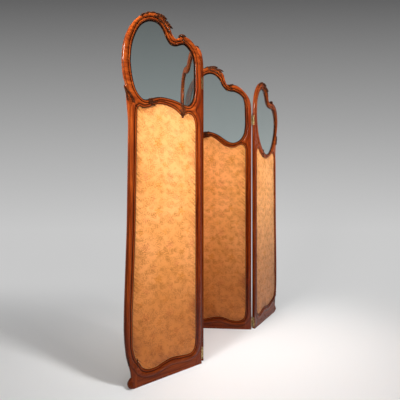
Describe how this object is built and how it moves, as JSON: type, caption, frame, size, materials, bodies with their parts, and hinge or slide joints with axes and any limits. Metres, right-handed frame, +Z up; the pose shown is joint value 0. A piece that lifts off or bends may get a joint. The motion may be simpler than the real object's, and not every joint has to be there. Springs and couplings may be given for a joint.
{
  "type": "folding room divider screen",
  "caption": "Free-standing folding screen: tall carved wood panels, each with a shaped glazed top over a stretched silk panel, joined edge to edge by brass butt hinges.",
  "frame": {"origin": "centre of the standing screen's footprint, on the floor, with the screen half folded in its zigzag", "axes": "+Z up; +X to the right seen from the front; +Y away from the viewer in front"},
  "size_m": [0.975, 1.109, 1.7601],
  "materials": {
    "mahogany": "french-polished mahogany",
    "carving": "carved, dark waxed",
    "glass": "clear, faint grey-green tint",
    "silk": "silk damask, satin",
    "board": "plain sawn board",
    "lining": "cotton sateen lining",
    "brass": "aged brass"
  },
  "bodies": {
    "panel_a": {"hinge_ab_low_leaf_a": "brass", "hinge_ab_low_pin": "brass", "hinge_ab_top_leaf_a": "brass", "hinge_ab_top_pin": "brass", "panel_a_back_lining": "lining", "panel_a_backing_board": "board", "panel_a_base_rail": "mahogany", "panel_a_crest_carving": "carving", "panel_a_glass_pane": "glass", "panel_a_left_stile": "mahogany", "panel_a_mid_rail": "mahogany", "panel_a_right_stile": "mahogany", "panel_a_silk_panel": "silk", "panel_a_top_rail": "mahogany"},
    "panel_b": {"hinge_ab_low_leaf_b": "brass", "hinge_ab_top_leaf_b": "brass", "hinge_bc_low_leaf_b": "brass", "hinge_bc_low_pin": "brass", "hinge_bc_top_leaf_b": "brass", "hinge_bc_top_pin": "brass", "panel_b_back_lining": "lining", "panel_b_backing_board": "board", "panel_b_base_rail": "mahogany", "panel_b_crest_carving": "carving", "panel_b_glass_pane": "glass", "panel_b_left_stile": "mahogany", "panel_b_mid_rail": "mahogany", "panel_b_right_stile": "mahogany", "panel_b_silk_panel": "silk", "panel_b_top_rail": "mahogany"},
    "panel_c": {"hinge_bc_low_leaf_c": "brass", "hinge_bc_top_leaf_c": "brass", "hinge_cd_low_leaf_c": "brass", "hinge_cd_low_pin": "brass", "hinge_cd_top_leaf_c": "brass", "hinge_cd_top_pin": "brass", "panel_c_back_lining": "lining", "panel_c_backing_board": "board", "panel_c_base_rail": "mahogany", "panel_c_crest_carving": "carving", "panel_c_glass_pane": "glass", "panel_c_left_stile": "mahogany", "panel_c_mid_rail": "mahogany", "panel_c_right_stile": "mahogany", "panel_c_silk_panel": "silk", "panel_c_top_rail": "mahogany"},
    "panel_d": {"hinge_cd_low_leaf_d": "brass", "hinge_cd_top_leaf_d": "brass", "panel_d_back_lining": "lining", "panel_d_backing_board": "board", "panel_d_base_rail": "mahogany", "panel_d_crest_carving": "carving", "panel_d_glass_pane": "glass", "panel_d_left_stile": "mahogany", "panel_d_mid_rail": "mahogany", "panel_d_right_stile": "mahogany", "panel_d_silk_panel": "silk", "panel_d_top_rail": "mahogany"}
  },
  "joints": [
    {"name": "fold_ab", "type": "hinge", "parent": "panel_b", "child": "panel_a", "pos_m": [-0.13516, -0.26984, 0.9], "axis": [0, 0, 1], "range_deg": [-108.8, 71.2]},
    {"name": "fold_bc", "type": "hinge", "parent": "panel_c", "child": "panel_b", "pos_m": [-0.23508, 0.16937, 0.9], "axis": [0, 0, 1], "range_deg": [-111.5, 68.5]},
    {"name": "fold_cd", "type": "hinge", "parent": "panel_c", "child": "panel_d", "pos_m": [0.21535, 0.17318, 0.9], "axis": [0, 0, 1], "range_deg": [-62.2, 117.8]}
  ]
}
